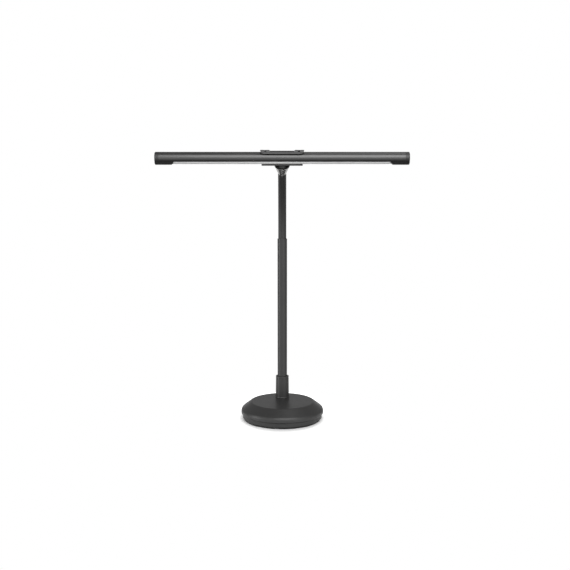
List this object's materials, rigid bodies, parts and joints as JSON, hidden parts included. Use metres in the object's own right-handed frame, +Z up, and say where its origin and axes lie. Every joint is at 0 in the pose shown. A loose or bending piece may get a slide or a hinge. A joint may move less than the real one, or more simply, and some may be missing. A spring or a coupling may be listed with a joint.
{
  "type": "piano lamp",
  "caption": "Slim piano lamp: a long round light bar on a ball swivel, carried by a gooseneck and pole on a heavy round base.",
  "frame": {"origin": "centre of the round base, on the surface that the lamp stands on", "axes": "+Z up, +X to the right along the light bar, -Y towards the user's side, where the bar leans out over the base"},
  "size_m": [0.4, 0.1366, 0.4441],
  "materials": {
    "satin_black_paint": "satin black powder coat, very fine texture",
    "satin_black_bar": "satin black anodised tube, faint lengthwise brushing",
    "base_plastic": "fine matte black moulding",
    "head_plastic": "fine satin black moulding",
    "button_plastic": "soft satin black, a little smoother than the cover",
    "neck_sleeve": "smooth matte black sleeve",
    "foot_rubber": "matte black anti-slip rubber",
    "satin_nickel": "bright satin nickel, turned",
    "black_ball": "polished black",
    "seat_nylon": "black nylon",
    "zinc_steel": "zinc-plated steel",
    "cast_iron": "rough as-cast grey iron",
    "board_laminate": "green circuit laminate",
    "led_board_white": "white solder mask on aluminium",
    "led_phosphor": "yellow phosphor in a white frame",
    "opal_diffuser": "frosted opal acrylic",
    "inlet_plastic": "black moulded nylon",
    "connector_plastic": "off-white nylon",
    "contact_metal": "nickel-plated brass",
    "coil_core": "sintered ferrite",
    "capacitor_cans": "drawn cans",
    "lead_sheath": "soft black sheath"
  },
  "bodies": {
    "base": {"foot_ring": "foot_rubber", "base_plate": "base_plastic", "base_cover": "satin_black_paint", "ballast": "cast_iron", "base_screws": "zinc_steel", "dc_jack": "inlet_plastic", "jack_pin": "contact_metal", "driver_board": "board_laminate", "driver_coil": "coil_core", "driver_capacitors": "capacitor_cans", "lead_connector": "connector_plastic", "pole_stud": "zinc_steel", "pole_washer": "zinc_steel", "pole_nut": "zinc_steel", "pole": "satin_black_paint", "collar": "satin_black_paint", "supply_lead": "lead_sheath", "neck_foot": "zinc_steel", "neck_sleeve_foot": "neck_sleeve"},
    "neck_1": {"neck_link_1": "zinc_steel", "neck_sleeve_1": "neck_sleeve"},
    "neck_2": {"neck_link_2": "zinc_steel", "neck_sleeve_2": "neck_sleeve"},
    "neck_3": {"neck_link_3": "zinc_steel", "neck_sleeve_3": "neck_sleeve"},
    "neck_4": {"neck_link_4": "zinc_steel", "neck_sleeve_4": "neck_sleeve"},
    "neck_5": {"neck_link_5": "zinc_steel", "neck_sleeve_5": "neck_sleeve"},
    "neck_6": {"neck_link_6": "zinc_steel", "neck_sleeve_6": "neck_sleeve"},
    "neck_7": {"neck_link_7": "zinc_steel", "neck_sleeve_7": "neck_sleeve"},
    "neck_end": {"neck_tip": "zinc_steel", "neck_sleeve_tip": "neck_sleeve", "swivel_cup": "satin_nickel"},
    "seat": {"ball_seat": "seat_nylon"},
    "head": {"ball_stud": "black_ball", "head_bracket": "head_plastic", "control_cover": "head_plastic", "control_board": "board_laminate", "saddle_screws": "zinc_steel", "switch_left": "inlet_plastic", "switch_right": "inlet_plastic"},
    "left_button": {"button_left": "button_plastic", "plunger_left": "contact_metal"},
    "right_button": {"button_right": "button_plastic", "plunger_right": "contact_metal"},
    "light_bar": {"bar_housing": "satin_black_bar", "diffuser": "opal_diffuser", "end_cap_left": "head_plastic", "end_cap_right": "head_plastic", "led_board": "led_board_white", "leds": "led_phosphor"}
  },
  "joints": [
    {"name": "neck_bend", "type": "hinge", "parent": "base", "child": "neck_1", "pos_m": [0, 0.0245, 0.3058], "axis": [1, 0, 0], "range_deg": [-9.5, 13]},
    {"name": "neck_sway", "type": "hinge", "parent": "neck_1", "child": "neck_2", "pos_m": [0, 0.02382, 0.32006], "axis": [0, 0.9955, 0.0946], "range_deg": [-12, 12]},
    {"name": "neck_bend_3", "type": "hinge", "parent": "neck_2", "child": "neck_3", "pos_m": [0, 0.0218, 0.3342], "axis": [1, 0, 0], "range_deg": [-9.5, 13]},
    {"name": "neck_sway_4", "type": "hinge", "parent": "neck_3", "child": "neck_4", "pos_m": [0, 0.01845, 0.34808], "axis": [0, 0.9599, 0.2804], "range_deg": [-12, 12]},
    {"name": "neck_bend_5", "type": "hinge", "parent": "neck_4", "child": "neck_5", "pos_m": [0, 0.0138, 0.36158], "axis": [1, 0, 0], "range_deg": [-9.5, 13]},
    {"name": "neck_sway_6", "type": "hinge", "parent": "neck_5", "child": "neck_6", "pos_m": [0, 0.00789, 0.37459], "axis": [0, 0.8899, 0.4562], "range_deg": [-12, 12]},
    {"name": "neck_bend_7", "type": "hinge", "parent": "neck_6", "child": "neck_7", "pos_m": [0, 0.00079, 0.38697], "axis": [1, 0, 0], "range_deg": [-9.5, 13]},
    {"name": "neck_sway_8", "type": "hinge", "parent": "neck_7", "child": "neck_end", "pos_m": [0, -0.00746, 0.39863], "axis": [0, 0.788, 0.6157], "range_deg": [-12, 12]},
    {"name": "head_swivel", "type": "hinge", "parent": "neck_end", "child": "seat", "pos_m": [0, -0.02205, 0.4173], "axis": [0, -0.6157, 0.788], "range_deg": [-90, 90]},
    {"name": "head_tilt", "type": "hinge", "parent": "seat", "child": "head", "pos_m": [0, -0.02205, 0.4173], "axis": [1, 0, 0], "range_deg": [-10, 22]},
    {"name": "bar_roll", "type": "hinge", "parent": "head", "child": "light_bar", "pos_m": [0, -0.0332, 0.43157], "axis": [1, 0, 0], "range_deg": [-30, 30]},
    {"name": "left_button_press", "type": "slide", "parent": "head", "child": "left_button", "axis": [0, 0, -1], "range_m": [0, 0.00035], "stiffness_N_per_m": 1500, "springref_m": -0.0002},
    {"name": "right_button_press", "type": "slide", "parent": "head", "child": "right_button", "axis": [0, 0, -1], "range_m": [0, 0.00035], "stiffness_N_per_m": 1500, "springref_m": -0.0002}
  ],
  "couplings": [
    {"joint": "neck_bend_3", "follows": "neck_bend", "ratio": 1},
    {"joint": "neck_bend_5", "follows": "neck_bend", "ratio": 1},
    {"joint": "neck_bend_7", "follows": "neck_bend", "ratio": 1},
    {"joint": "neck_sway_4", "follows": "neck_sway", "ratio": 1},
    {"joint": "neck_sway_6", "follows": "neck_sway", "ratio": 1},
    {"joint": "neck_sway_8", "follows": "neck_sway", "ratio": 1}
  ]
}
